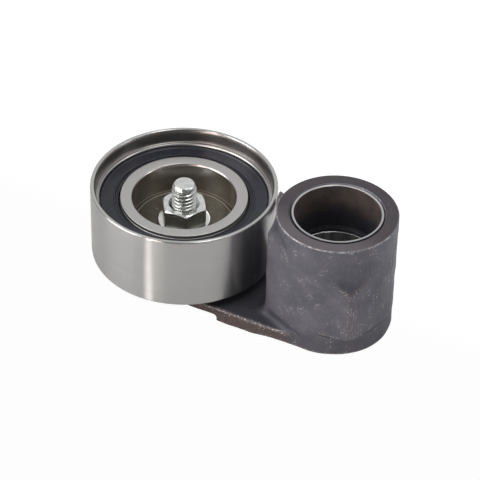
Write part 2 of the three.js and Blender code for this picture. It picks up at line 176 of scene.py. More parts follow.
def surface_net(distance, low, high, step):
    """The quads of the surface where distance is zero, one vertex in each crossed cell of a grid."""
    axes = [np.arange(a, b + step, step) for a, b in zip(low, high)]
    shape = tuple(len(a) for a in axes)
    grid = np.stack(np.meshgrid(*axes, indexing="ij"), -1).reshape(-1, 3)
    inside = (distance(grid) < 0).reshape(shape)
    count = np.zeros([n - 1 for n in shape], int)
    for i in (0, 1):
        for j in (0, 1):
            for k in (0, 1):
                count += inside[i:shape[0] - 1 + i, j:shape[1] - 1 + j, k:shape[2] - 1 + k]
    cells = np.argwhere((count > 0) & (count < 8))
    number = np.full(count.shape, -1)
    number[tuple(cells.T)] = np.arange(len(cells))
    points = np.array(low) + (cells + 0.5) * step
    quads = []
    for axis in range(3):
        before, after = np.eye(3, dtype=int)[(axis + 1) % 3], np.eye(3, dtype=int)[(axis + 2) % 3]
        first = np.moveaxis(inside, axis, 0)
        crossed = np.argwhere(first[:-1] != first[1:])
        order = [0, 1, 2]
        order.remove(axis)
        places = np.zeros_like(crossed)
        places[:, axis] = crossed[:, 0]
        places[:, order[0]] = crossed[:, 1]
        places[:, order[1]] = crossed[:, 2]
        ring = [places - before - after, places - after, places, places - before]
        quad = np.stack([number[tuple(c.T)] for c in ring], 1)
        outward = inside[tuple(places.T)]
        quad[~outward] = quad[~outward][:, ::-1]
        quads.append(quad)
    return points, np.concatenate(quads)


def gradient(distance, points, reach=0.05):
    slopes = []
    for axis in range(3):
        offset = np.zeros(3)
        offset[axis] = reach
        slopes.append((distance(points + offset) - distance(points - offset)) / (2 * reach))
    return np.stack(slopes, 1)


def settle(distance, points, rounds):
    """Moves points onto the surface where distance is zero."""
    for _ in range(rounds):
        slope = gradient(distance, points)
        size = np.maximum((slope ** 2).sum(1), 0.05)
        points = points - slope * (distance(points) / size)[:, None]
    return points


def evened(points, quads, share):
    """Each point moved part of the way to the middle of its neighbours."""
    total = np.zeros_like(points)
    met = np.zeros(len(points))
    for a, b in ((0, 1), (1, 2), (2, 3), (3, 0)):
        for start, end in ((quads[:, a], quads[:, b]), (quads[:, b], quads[:, a])):
            np.add.at(total, start, points[end])
            np.add.at(met, start, 1)
    return points + share * (total / met[:, None] - points)


def cut(piece, cutter):
    """Cuts cutter's shape out of piece, and removes cutter."""
    modifier = piece.modifiers.new("cut", "BOOLEAN")
    modifier.operation = "DIFFERENCE"
    modifier.solver = "EXACT"
    modifier.object = cutter
    bpy.context.view_layer.update()
    evaluated = piece.evaluated_get(bpy.context.evaluated_depsgraph_get())
    mesh = bpy.data.meshes.new_from_object(evaluated)
    piece.modifiers.remove(modifier)
    piece.data = mesh
    bpy.data.objects.remove(cutter)
    return piece


# ---- arm ----------------------------------------------------------------------------------------------

WEB_FRONT_ANGLE = math.radians(-113.8)
WEB_SIDE = 18.3
WEB_CORNER = 2.6
WEB_TOP = 36.9
WEB_TOP_FILLET = 4.7
WEB_TOP_EDGE = 1.3
FIN_ANGLE = math.radians(145.2)
FIN_NEAR, FIN_FAR = 5.9, 9.7
FIN_REACH = 30
FIN_BOTTOM = 29.5
FIN_SIDE_EDGE, FIN_END_EDGE, FIN_LOWER_EDGE = 1.4, 1.2, 1.5
FIN_FURTHEST_RIGHT = -10
FIN_FILLET = 3
PULLEY_ROOM = PULLEY_RADIUS + 0.7
PAD_ANGLE = math.radians(-82)
PAD_BACK_ANGLE = math.radians(-7.7)
PAD_BACK = 16.6
PAD_CORNER = 2
PAD_FLANK_START = 9
PAD_FLANK_FILLET = 3.4
PAD_UPPER_EDGE, PAD_LOWER_EDGE = 0.5, 0.8
PAD_BOTTOM = 9.2
PAD_TOP = 26.6
SCOOP_TOP = 38.5
SCOOP_DEPTH = 4
SCOOP_CURVE = 3.4
FOOT_FILLET, FOOT_HEIGHT = 3.2, 6
PLATE_EDGE, UNDERSIDE_EDGE = 0.7, 0.8
THIN_END = 22.2
THIN_END_UNDERSIDE = 2
THIN_END_STEP = 1.2
RELIEF_INNER, RELIEF_OUTER = 20.3, 27.2
TURNING_ALLOWANCE = 1.5
LOWEST = 0.01
WAVINESS = 0.035
ARM_STEP = 0.42
STUD_HOLE_RADIUS = 4.65
SHARP_DEGREES = 33
FORGED_SKIN = 0.06
EDGE_BENDING, EDGE_RANGE = 0.13, 0.4
HOLLOW_BENDING, HOLLOW_RANGE = 0.05, 0.3


def along(x, y, angle):
    return x * math.cos(angle) + y * math.sin(angle)


def wall_distance(x, y, z, r, from_pulley):
    """Distance outside the hub, its web and the fin high on its back. x and y are from the hub's axis."""
    web = smooth_max(along(x, y, WEB_FRONT_ANGLE) - HUB_RADIUS, -x - WEB_SIDE, WEB_CORNER)
    web = np.maximum(np.maximum(web, y), x - HUB_RADIUS * math.cos(WEB_FRONT_ANGLE))
    across = along(x, y, FIN_ANGLE - math.pi / 2)
    fin = smooth_max(across + FIN_NEAR, -across - FIN_FAR, FIN_SIDE_EDGE)
    fin = smooth_max(fin, PULLEY_ROOM - from_pulley, FIN_END_EDGE)
    fin = np.maximum(np.maximum(fin, along(x, y, FIN_ANGLE) - FIN_REACH), x - FIN_FURTHEST_RIGHT)
    fin = smooth_max(fin, FIN_BOTTOM - z, FIN_LOWER_EDGE)
    return smooth_min(np.minimum(r - HUB_RADIUS, web), fin, FIN_FILLET)


def underside_distance(px, r, z):
    """Below the plate: the step to its thin end, and the shallow cone that leaves the hub's foot standing."""
    step = smooth_min(THIN_END - px, THIN_END_UNDERSIDE - z, THIN_END_STEP)
    slope = HUB_BASE / (RELIEF_OUTER - RELIEF_INNER)
    relief = np.minimum((RELIEF_OUTER - r) * slope - z, HUB_BASE - z)
    return np.maximum(np.maximum(-z, step), relief)


def unevenness(p):
    """The slow waviness of a forged surface."""
    x, y, z = p[:, 0], p[:, 1], p[:, 2]
    wave = np.sin(0.61 * x + 0.37 * z + 1.3 * np.sin(0.23 * y)) + np.sin(0.47 * y - 0.53 * z + 2.1)
    return WAVINESS * (wave + np.sin(0.83 * z + 0.71 * y - 0.29 * x))


def arm_distance(p):
    """How far each point is outside the forging, in millimetres, before its faces and bores are machined."""
    x, y, z = p[:, 0] - HUB_X, p[:, 1], p[:, 2]
    r = np.hypot(x, y)
    from_pulley = np.hypot(p[:, 0], y)
    walls = wall_distance(x, y, z, r, from_pulley)

    barrel = r - HUB_RADIUS
    web = smooth_max(walls, smooth_min(z - WEB_TOP, r - HUB_RADIUS, WEB_TOP_FILLET), WEB_TOP_EDGE)

    pad_face = along(x, y, PAD_ANGLE) - HUB_RADIUS
    wedge = smooth_max(pad_face, along(x, y, PAD_BACK_ANGLE) - PAD_BACK, PAD_CORNER)
    wedge = np.maximum(wedge, HUB_RADIUS * math.cos(PAD_ANGLE) - x)
    flank = smooth_min(barrel, wedge, PAD_FLANK_FILLET)
    flank = np.maximum(flank, np.maximum(pad_face, PAD_FLANK_START - x))
    wedge = np.maximum(np.minimum(wedge, flank), y)
    scoop = SCOOP_DEPTH * np.clip((SCOOP_TOP - z) / (SCOOP_TOP - PAD_TOP), 0, 1.4) ** SCOOP_CURVE
    shelf = barrel - scoop
    pad = smooth_max(smooth_max(wedge, shelf, PAD_UPPER_EDGE), PAD_BOTTOM - z, PAD_LOWER_EDGE)

    body = np.minimum(np.minimum(barrel, web), pad)
    body = np.maximum(body, np.minimum(PULLEY_ROOM - from_pulley, z - PLATE_TOP))

    outline = np.hypot(p[:, 0] - np.clip(p[:, 0], 0, HUB_X), y) - HUB_RADIUS
    foot = np.maximum(smooth_min(walls, z - PLATE_TOP, FOOT_FILLET), z - PLATE_TOP - FOOT_HEIGHT)
    plate = smooth_max(foot, outline, PLATE_EDGE)
    whole = smooth_max(np.minimum(body, plate), underside_distance(p[:, 0], r, z), UNDERSIDE_EDGE)
    whole = np.maximum(whole, z - HUB_TOP - TURNING_ALLOWANCE) + unevenness(p)
    return np.maximum(whole, LOWEST - z)


def bending(points, reach=0.7):
    """How sharply the forged surface turns outwards at each point, in 1/mm. Hollows are negative."""
    total = -6 * arm_distance(points)
    for axis in range(3):
        offset = np.zeros(3)
        offset[axis] = reach
        total += arm_distance(points + offset) + arm_distance(points - offset)
    return total / reach ** 2


def machining():
    """What is turned off the hub: its bore with both mouths, its top face and that face's outer edge."""
    bore = BUSH_RADIUS + 0.05
    mouth = bore + 0.6
    edge = 0.35
    return turned("machining", [
        (0, -5, 0),
        (mouth, -5, 0),
        (mouth, HUB_BASE, 0),
        (bore, HUB_BASE + 0.6, 0),
        (bore, HUB_TOP - 0.6, 0),
        (mouth, HUB_TOP, 0.12),
        (HUB_RADIUS - edge, HUB_TOP, 0.1),
        (HUB_RADIUS + 0.25, HUB_TOP - edge - 0.25, 0),
        (HUB_RADIUS + 4, HUB_TOP - edge - 0.25, 0),
        (HUB_RADIUS + 4, HUB_TOP + 5, 0),
        (0, HUB_TOP + 5, 0),
    ], HUB_X, LARGE_TURN)


def make_arm():
    low = [ARM_LOW[0] - 1, ARM_LOW[1] - 1, -1]
    high = [ARM_HIGH[0] + 1, ARM_HIGH[1] + 1, HUB_TOP + 3]
    points, quads = surface_net(arm_distance, low, high, ARM_STEP)
    points = settle(arm_distance, points, 3)
    points = settle(arm_distance, evened(points, quads, 0.5), 2)
    arm = mesh_object("arm_forging", points, quads, 50)
    cut(arm, machining())
    below, above = -3, 9
    stud_hole = turned("stud_hole", [
        (0, below, 0), (STUD_HOLE_RADIUS, below, 0), (STUD_HOLE_RADIUS, above, 0), (0, above, 0),
    ], 0, 64)
    cut(arm, stud_hole)
    mesh = arm.data
    mesh.shade_smooth()
    mesh.set_sharp_from_angle(angle=math.radians(SHARP_DEGREES))
    places = np.zeros(len(mesh.vertices) * 3, np.float32)
    mesh.vertices.foreach_get("co", places)
    places = places.reshape(-1, 3).astype(float) / MM
    forged = np.abs(arm_distance(places)) < FORGED_SKIN
    outward = np.where(forged, np.clip(bending(places), -1, 1.5), 0)
    upward = np.where(forged, np.clip(gradient(arm_distance, places)[:, 2], 0, 1), 0)
    # The hollow and upward values also drive painted shade on the arm's coat.
    looks = {
        "edge": np.clip((outward - EDGE_BENDING) / EDGE_RANGE, 0, 1),
        "hollow": np.clip((-outward - HOLLOW_BENDING) / HOLLOW_RANGE, 0, 1),
        "upward": upward,
    }
    for name, values in looks.items():
        attribute = mesh.attributes.new(name, "FLOAT", "POINT")
        attribute.data.foreach_set("value", values.astype(np.float32))
    return arm


# ---- bushes -------------------------------------------------------------------------------------------


def make_bush(name, low, high):
    inner = BUSH_RADIUS - BUSH_WALL
    return turned(name, [
        (inner, low, 0.35),
        (BUSH_RADIUS, low, 0.15),
        (BUSH_RADIUS, high, 0.4),
        (inner, high, 0.34),
    ], HUB_X, LARGE_TURN)


# ---- pulley and bearing -------------------------------------------------------------------------------


def raceway(side, reach):
    """A ball groove's section from -reach to reach: side 1 is outside the ball circle, and -1 inside it."""
    groove = BALL_RADIUS + GROOVE_CLEARANCE
    heights = np.linspace(-reach, reach, 15)
    return [(BALL_CIRCLE + side * math.sqrt(groove ** 2 - z ** 2), z, 0) for z in heights]


def make_pulley():
    half = (PULLEY_HIGH[2] - PULLEY_LOW[2]) / 2
    upper = [
        (PULLEY_RADIUS, half, 0.75),
        (28.85, half, 0.25),
        (28.4, half - 0.7, 0.4),
        (28.35, 8.15, 0.5),
        (28.1, 7.95, 0.2),
        (27.35, 7.95, 0.2),
        (27.08, 7.5, 0.1),
        (27.05, 5.95, 0),
        (25.1, 5.95, 0.1),
        (25.1, 2.65, 0.1),
    ]
    lower = [(r, -z, rounding) for r, z, rounding in reversed(upper)]
    outline = upper + raceway(1, 2.5)[::-1] + lower
    return turned("pulley_ring", [(r, z + PULLEY_MIDDLE, f) for r, z, f in outline], 0, 360)


def make_inner_ring():
    half = (RING_HIGH[2] - RING_LOW[2]) / 2
    upper = [
        (RING_RADIUS, 3.1, 0.1),
        (RING_RADIUS, half - 1.35, 0.1),
        (RING_RADIUS - 0.25, half - 1.15, 0.1),
        (RING_RADIUS - 0.2, half, 0.3),
        (16.95, half, 0.25),
        (16.5, half - 0.6, 0.3),
    ]
    lower = [(r, -z, rounding) for r, z, rounding in reversed(upper)]
    outline = raceway(-1, 2.8) + upper + lower
    return turned("bearing_inner_ring", [(r, z + PULLEY_MIDDLE, f) for r, z, f in outline], 0, LARGE_TURN)


def make_seal(name, side):
    outline = [
        (21.08, 6.0, 0.1),
        (26.95, 6.0, 0.1),
        (26.95, 7.0, 0.15),
        (26.7, 7.22, 0.15),
        (26.25, 7.22, 0.15),
        (26.05, 6.95, 0.15),
        (22.75, 6.95, 0.12),
        (22.6, 7.15, 0.1),
        (22.2, 7.15, 0.1),
        (22.0, 6.55, 0.1),
        (21.6, 6.5, 0.05),
        (21.45, 6.72, 0.08),
        (21.15, 6.72, 0.08),
        (20.95, 6.4, 0.1),
    ]
    if side < 0:
        outline = [(r, -z, rounding) for r, z, rounding in reversed(outline)]
    return turned(name, [(r, z + PULLEY_MIDDLE, f) for r, z, f in outline], 0, LARGE_TURN)


def make_ball(name, node):
    low, high = span(node)
    middle = [(a + b) / 2 for a, b in zip(low, high)]
    mesh = bpy.data.meshes.new(name)
    ball = bmesh.new()
    bmesh.ops.create_icosphere(ball, subdivisions=4, radius=BALL_RADIUS * MM)
    bmesh.ops.translate(ball, verts=ball.verts, vec=Vector(middle) * MM)
    ball.to_mesh(mesh)
    ball.free()
    mesh.shade_smooth()
    piece = bpy.data.objects.new(name, mesh)
    bpy.context.scene.collection.objects.link(piece)
    return piece


# ---- collar and fasteners -----------------------------------------------------------------------------


FASTENER_HOLE = 4.3
FLANGE_RADIUS = 20.3
BODY_RADIUS = 16.45
RIM_HEIGHT = 0.14


def make_collar():
    """A flange under the inner ring, and a body inside it with a low rim round its top."""
    top = COLLAR_HIGH[2]
    floor = top - RIM_HEIGHT
    return turned("collar_turned", [
        (FASTENER_HOLE, PLATE_TOP, 0.1),
        (FLANGE_RADIUS, PLATE_TOP, 0.4),
        (FLANGE_RADIUS, RING_LOW[2], 0.3),
        (BODY_RADIUS, RING_LOW[2], 0),
        (BODY_RADIUS, top, 0.5),
        (15.85, top, 0.12),
        (15.65, floor, 0.1),
        (FASTENER_HOLE, floor, 0.2),
    ], 0, LARGE_TURN)


def make_washer():
    radius = WASHER_HIGH[0]
    return turned("washer_plain", [
        (FASTENER_HOLE, WASHER_LOW[2], 0.1),
        (radius, WASHER_LOW[2], 0.3),
        (radius, WASHER_HIGH[2], 0.45),
        (FASTENER_HOLE, WASHER_HIGH[2], 0.2),
    ], 0, SMALL_TURN)


NUT_TURN = math.radians(5)
NUT_FLAT = 6.7
NUT_CORNER = 7.6
NUT_BEVEL_SLOPE = 0.42
THREAD_RADIUS = 4.06
THREAD_PITCH = 1.385
THREAD_DEPTH = 0.8
THREAD_CREST, THREAD_ROOT = 0.16, 0.2
THREAD_LOWEST = PLATE_TOP + 3
STUD_HEAD_RADIUS = 8
STUD_SHANK_RADIUS = 4.6
STUD_END_RADIUS = 3.08


def make_nut():
    """A hexagon with a narrow bevel round each end, widest at its corners, and a countersunk hole."""
    low, high = NUT_LOW[2], NUT_HIGH[2]
    segments = 216
    rings = [[] for _ in range(12)]
    vertices = []
    for i in range(segments):
        angle = 2 * math.pi * i / segments
        side = min(NUT_FLAT / math.cos(angle % (math.pi / 3) - math.pi / 6), NUT_CORNER)
        widening = NUT_BEVEL_SLOPE * (side - NUT_FLAT)
        bevel = 0.28 + widening
        drop = 0.22 + widening
        profile = [
            (4.02, high - 1.1),
            (4.85, high - 0.35),
            (5.0, high - 0.08),
            (5.12, high),
            (side - bevel - 0.06, high),
            (side - bevel + 0.06, high - 0.06),
            (side - 0.06, high - drop + 0.05),
            (side, high - drop - 0.1),
            (side, low + drop + 0.1),
            (side - bevel, low),
            (4.9, low),
            (4.02, low + 0.9),
        ]
        turn = angle + NUT_TURN
        for ring, (r, z) in zip(rings, profile):
            ring.append(len(vertices))
            vertices.append((r * math.cos(turn), r * math.sin(turn), z))
    faces = []
    for upper, lower in zip(rings, rings[1:] + rings[:1]):
        for i in range(segments):
            j = (i + 1) % segments
            faces.append((upper[i], lower[i], lower[j], upper[j]))
    return mesh_object("nut_hexagon", vertices, faces, 25)


def thread_radius(height, turn):
    """A 60 degree thread with a flat crest and a rounded root, starting at its crest."""
    phase = (height / THREAD_PITCH - turn / (2 * math.pi)) % 1.0
    ramp = abs(phase - 0.5) * 2
    depth = min(max((1 - ramp - THREAD_CREST) / (1 - THREAD_CREST - THREAD_ROOT), 0), 1)
    eased = depth * depth * (3 - 2 * depth)
    return THREAD_RADIUS - THREAD_DEPTH * (eased * 0.35 + depth * 0.65)


def make_stud():
    """A thin round head, a plain shank through the plate, and a thread that ends in a rounded crown."""
    head, shank, plain = STUD_HEAD_RADIUS, STUD_SHANK_RADIUS, THREAD_RADIUS - 0.1
    top = STUD_HIGH[2]
    segments = 120
    rows = [(0, 0.35), (0.9, 0.35), (1.3, 0.0), (head - 0.7, 0.0), (head - 0.2, 0.12), (head, 0.5)]
    rows += [(head, 1.85), (head - 0.15, 2.0), (shank, 2.0), (shank, PLATE_TOP - 0.1)]
    rows += [(plain, PLATE_TOP + 0.2), (plain, THREAD_LOWEST)]
    heights = list(np.arange(THREAD_LOWEST + 0.1, top - 0.12, THREAD_PITCH / 18))
    cap = [(3.1, top - 0.05), (3.02, top), (2.72, top), (2.55, top - 0.05), (0, top - 0.07)]
    vertices, rings = [], []

    def ring(radii, z):
        rings.append(list(range(len(vertices), len(vertices) + segments)))
        for i, r in enumerate(radii):
            angle = 2 * math.pi * i / segments
            vertices.append((r * math.cos(angle), r * math.sin(angle), z))

    def pole(z):
        rings.append([len(vertices)] * segments)
        vertices.append((0, 0, z))

    for r, z in rows:
        if r == 0:
            pole(z)
        else:
            ring([r] * segments, z)
    for z in heights:
        crown = STUD_END_RADIUS + 1.02 * (1 - math.exp((z - top) / 1.1))
        share = min(1.0, (z - THREAD_LOWEST) / 1.5) * min(1.0, max(0.0, (top - 0.25 - z) / 0.6))
        radii = []
        for i in range(segments):
            threaded = thread_radius(z, 2 * math.pi * i / segments)
            radii.append(min(plain + (threaded - plain) * share, crown))
        ring(radii, z)
    for r, z in cap:
        if r == 0:
            pole(z)
        else:
            ring([r] * segments, z)
    faces = []
    for lower, upper in zip(rings, rings[1:]):
        for i in range(segments):
            j = (i + 1) % segments
            loop = [lower[i], lower[j], upper[j], upper[i]]
            kept = [c for k, c in enumerate(loop) if c != loop[k - 1]]
            if len(kept) > 2:
                faces.append(kept)
    return mesh_object("stud_threaded", vertices, faces, 40)


# ---- materials ----------------------------------------------------------------------------------------


class Shader:
    """A Principled material and short ways to add the nodes that drive it."""

    def __init__(self, name, **values):
        self.material = bpy.data.materials.new(name)
        self.material.use_nodes = True
        self.tree = self.material.node_tree
        self.surface = self.tree.nodes["Principled BSDF"]
        for socket, value in values.items():
            self.surface.inputs[socket.replace("_", " ")].default_value = value

    def node(self, kind, inputs, output=0, **settings):
        made = self.tree.nodes.new(kind)
        for key, value in settings.items():
            setattr(made, key, value)
        for key, value in inputs.items():
            self.put(value, made.inputs[key])
        return made.outputs[output]

    def put(self, value, socket):
        if isinstance(value, bpy.types.NodeSocket):
            self.tree.links.new(value, socket)
        else:
            socket.default_value = value

    def math(self, operation, a, b=0.0, clamp=False):
        return self.node("ShaderNodeMath", {0: a, 1: b}, operation=operation, use_clamp=clamp)

    def place(self, centre_x=0.0):
        """Object coordinates in millimetres, from the vertical axis at centre_x."""
        coordinates = self.node("ShaderNodeTexCoord", {}, "Object")
        scaled = self.node("ShaderNodeVectorMath", {0: coordinates, "Scale": 1 / MM}, operation="SCALE")
        return self.node("ShaderNodeVectorMath", {0: scaled, 1: (centre_x, 0, 0)}, operation="SUBTRACT")

    def parts(self, vector):
        made = self.tree.nodes.new("ShaderNodeSeparateXYZ")
        self.tree.links.new(vector, made.inputs[0])
        return made.outputs[0], made.outputs[1], made.outputs[2]

    def radius(self, place):
        x, y, _ = self.parts(place)
        squares = self.math("ADD", self.math("MULTIPLY", x, x), self.math("MULTIPLY", y, y))
        return self.math("SQRT", squares)

    def noise(self, vector, scale, detail=3.0, roughness=0.5, **inputs):
        values = {"Vector": vector, "Scale": scale, "Detail": detail, "Roughness": roughness, **inputs}
        dimensions = "4D" if "W" in inputs else "3D"
        return self.node("ShaderNodeTexNoise", values, 0, noise_dimensions=dimensions)

    def grain(self, place, pitch, round_scale):
        """Fine lathe or grinding lines that run round the axis: noise that changes fast along the section."""
        x, y, z = self.parts(place)
        r = self.radius(place)
        across = self.math("DIVIDE", x, r)
        up = self.math("DIVIDE", y, r)
        vector = self.node("ShaderNodeCombineXYZ", {
            0: self.math("DIVIDE", r, pitch),
            1: self.math("DIVIDE", z, pitch),
            2: self.math("MULTIPLY", across, round_scale),
        })
        return self.noise(vector, 1.0, 2.0, 0.6, W=self.math("MULTIPLY", up, round_scale))

    def between(self, value, low, high, out_low=0.0, out_high=1.0, smooth=True):
        values = {"Value": value, "From Min": low, "From Max": high, "To Min": out_low, "To Max": out_high}
        kind = "SMOOTHSTEP" if smooth else "LINEAR"
        return self.node("ShaderNodeMapRange", values, 0, interpolation_type=kind, clamp=True)

    def mix(self, share, a, b):
        made = self.tree.nodes.new("ShaderNodeMix")
        made.data_type = "RGBA"
        self.put(share, made.inputs[0])
        for value, socket in ((a, made.inputs[6]), (b, made.inputs[7])):
            if isinstance(value, tuple):
                value = (*value[:3], 1)
            self.put(value, socket)
        return made.outputs[2]

    def specks(self, place, per_mm, chance):
        """Small round marks, one in each chosen cell of a fine pattern."""
        cells = self.tree.nodes.new("ShaderNodeTexVoronoi")
        self.put(place, cells.inputs["Vector"])
        self.put(per_mm, cells.inputs["Scale"])
        drawn, _, _ = self.parts(cells.outputs["Color"])
        chosen = self.between(self.math("SUBTRACT", chance, drawn), 0.0, 0.02)
        return self.math("MULTIPLY", chosen, self.between(cells.outputs["Distance"], 0.46, 0.24, 0, 0.75))

    def bump(self, height, distance_mm, strength=1.0, under=None):
        inputs = {"Height": height, "Distance": distance_mm * MM, "Strength": strength}
        if under is not None:
            inputs["Normal"] = under
        return self.node("ShaderNodeBump", inputs)

    def drive(self, **sockets):
        for name, value in sockets.items():
            self.put(value, self.surface.inputs[name.replace("_", " ")])
        return self.material


def ground_steel():
    """The belt face and rim: fine grinding lines run round, so highlights stretch along the axis."""
    s = Shader("ground_steel", Metallic=1.0, Anisotropic=1.0, Anisotropic_Rotation=0.25)
    place = s.place()
    lines = s.grain(place, 0.25, 2.0)
    bands = s.grain(place, 1.6, 1.2)
    cloud = s.noise(place, 0.13, 3.0)
    tone = s.mix(s.between(bands, 0.35, 0.65), (0.50, 0.497, 0.488), (0.52, 0.516, 0.506))
    tone = s.mix(s.between(cloud, 0.35, 0.7, 0, 0.35), tone, (0.48, 0.472, 0.462))
    _, _, z = s.parts(place)
    # Painted light: the rim's upward top face is painted paler than the belt face.
    tone = s.mix(s.between(z, PULLEY_HIGH[2] - 0.12, PULLEY_HIGH[2] - 0.04), tone, (0.66, 0.665, 0.655))
    roughness = s.between(lines, 0.2, 0.8, 0.23, 0.27)
    tangent = s.node("ShaderNodeTangent", {}, direction_type="RADIAL", axis="Z")
    normal = s.bump(lines, 0.0012, 0.3)
    return s.drive(Base_Color=tone, Roughness=roughness, Normal=normal, Tangent=tangent)


def recess_steel():
    """The pulley's inside: a darker, browner turned wall above the pale ledge round the seal."""
    s = Shader("recess_steel", Metallic=1.0)
    place = s.place()
    lines = s.grain(place, 0.3, 1.5)
    cloud = s.noise(place, 0.2, 3.0)
    r = s.radius(place)
    ledge = s.mix(s.between(cloud, 0.3, 0.7), (0.47, 0.465, 0.455), (0.54, 0.532, 0.52))
    wall = s.mix(s.between(cloud, 0.3, 0.7), (0.275, 0.254, 0.246), (0.32, 0.297, 0.288))
    tone = s.mix(s.between(r, 28.0, 28.25), ledge, wall)
    roughness = s.between(lines, 0.2, 0.8, 0.26, 0.36)
    return s.drive(Base_Color=tone, Roughness=roughness, Normal=s.bump(lines, 0.0012, 0.4))


def ring_steel():
    """The inner ring: a pale ground face, a browner bore, and a side painted near-black as shade in the gap
    under the seal's lip.
    """
    s = Shader("ring_steel", Metallic=1.0)
    place = s.place()
    lines = s.grain(place, 0.16, 3.0)
    grit = s.noise(place, 6.0, 4.0, 0.7)
    r = s.radius(place)
    tone = s.mix(s.between(grit, 0.35, 0.65), (0.55, 0.545, 0.53), (0.66, 0.655, 0.64))
    bore = s.between(r, 16.98, 16.9)
    tone = s.mix(bore, tone, (0.46, 0.425, 0.40))
    # Painted shade: the ring's outer side, in the gap under the seal's lip, is painted near-black.
    side = s.between(r, RING_RADIUS - 0.16, RING_RADIUS - 0.08)
    tone = s.mix(side, tone, (0.03, 0.03, 0.032))
    face = s.math("SUBTRACT", 1.0, bore)
    roughness = s.math("ADD", 0.27, s.math("MULTIPLY", face, s.between(lines, 0.2, 0.8, 0.07, 0.18)))
    normal = s.bump(grit, 0.003, 0.4, s.bump(s.math("MULTIPLY", lines, face), 0.002, 0.5))
    return s.drive(Base_Color=tone, Roughness=roughness, Normal=normal)


def seal_rubber():
    s = Shader("seal_rubber", Specular_IOR_Level=0.55)
    place = s.place()
    grit = s.noise(place, 5.0, 3.0, 0.6)
    cloud = s.noise(place, 0.35, 2.0)
    tone = s.mix(s.between(cloud, 0.3, 0.7), (0.011, 0.0125, 0.021), (0.019, 0.021, 0.032))
    dust = s.noise(place, 2.3, 2.0, 0.5)
    tone = s.mix(s.between(dust, 0.70, 0.78, 0, 0.25), tone, (0.16, 0.16, 0.17))
    roughness = s.between(grit, 0.3, 0.7, 0.24, 0.33)
    return s.drive(Base_Color=tone, Roughness=roughness, Normal=s.bump(grit, 0.004, 0.4))


def collar_steel():
    s = Shader("collar_steel", Metallic=0.8)
    place = s.place()
    lines = s.grain(place, 0.22, 2.0)
    cloud = s.noise(place, 0.3, 4.0, 0.6)
    r = s.radius(place)
    tone = s.mix(s.between(cloud, 0.3, 0.7), (0.105, 0.098, 0.078), (0.150, 0.140, 0.113))
    rim = s.math("MULTIPLY", s.between(r, 15.7, 15.9), s.between(r, 16.6, 16.45))
    tone = s.mix(s.math("MULTIPLY", rim, 0.8), tone, (0.40, 0.37, 0.31))
    speck = s.noise(place, 0.9, 1.0, 0.3)
    tone = s.mix(s.between(speck, 0.755, 0.775), tone, (0.50, 0.44, 0.26))
    roughness = s.between(lines, 0.2, 0.8, 0.42, 0.54)
    return s.drive(Base_Color=tone, Roughness=roughness, Normal=s.bump(lines, 0.002, 0.5))


def zinc_plate(name, dull_below, dull_within, dulling):
    """Bright plating, which is duller and grainier below one height and within one radius."""
    s = Shader(name, Metallic=1.0)
    place = s.place()
    _, _, z = s.parts(place)
    grit = s.noise(place, 4.5, 4.0, 0.65)
    cloud = s.noise(place, 0.8, 2.0)
    low = s.between(z, dull_below, dull_below - 0.3)
    dull = s.math("MAXIMUM", low, s.between(s.radius(place), dull_within, dull_within - 0.1))
    tone = s.mix(s.between(cloud, 0.3, 0.7), (0.80, 0.825, 0.805), (0.93, 0.95, 0.935))
    tone = s.mix(s.between(grit, 0.62, 0.75, 0, 0.3), tone, (0.40, 0.41, 0.41))
    tone = s.mix(s.math("MULTIPLY", dull, dulling), tone, (0.40, 0.42, 0.40))
    roughness = s.math("ADD", s.between(grit, 0.3, 0.7, 0.12, 0.24), s.math("MULTIPLY", dull, 0.2 * dulling))
    grain = s.noise(place, 2.6, 3.0, 0.7)
    normal = s.bump(s.math("MULTIPLY", grain, dull), 0.03, 0.5, s.bump(grit, 0.006, 0.4))
    return s.drive(Base_Color=tone, Roughness=roughness, Normal=normal)


